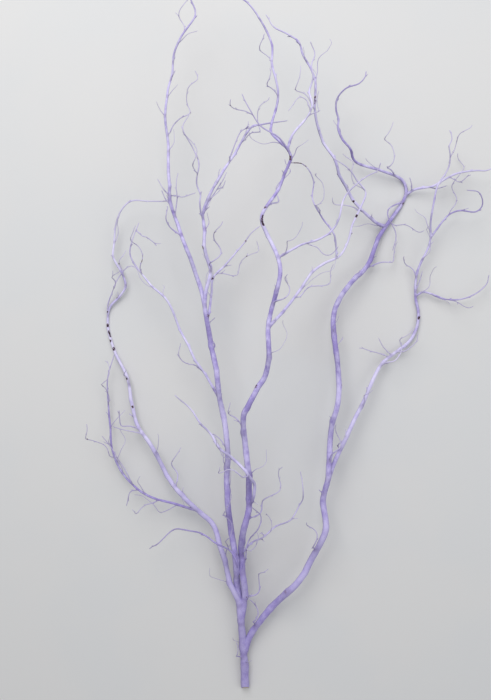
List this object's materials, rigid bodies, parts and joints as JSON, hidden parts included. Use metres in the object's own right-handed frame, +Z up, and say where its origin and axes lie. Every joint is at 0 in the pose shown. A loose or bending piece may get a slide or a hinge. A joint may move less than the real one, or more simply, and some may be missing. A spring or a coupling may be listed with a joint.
{
  "type": "curly willow branch",
  "caption": "Dried curly willow branch, spray painted matt lilac, with a stout cut stem that forks into wavy limbs, long curling shoots and thin hooked twigs; it lies on its side.",
  "frame": {"origin": "on the table, under the middle of the branch's box", "axes": "+Z up from the table, +Y along the branch from the cut end to the tips, +X to the right seen from above with the tips away"},
  "size_m": [0.8332, 1.502, 0.2331],
  "materials": {
    "lilac_paint": "matt chalky lilac spray paint over dark brown bark, with small patches that the spray missed"
  },
  "bodies": {
    "root": {"willow_branch": "lilac_paint"}
  },
  "joints": []
}
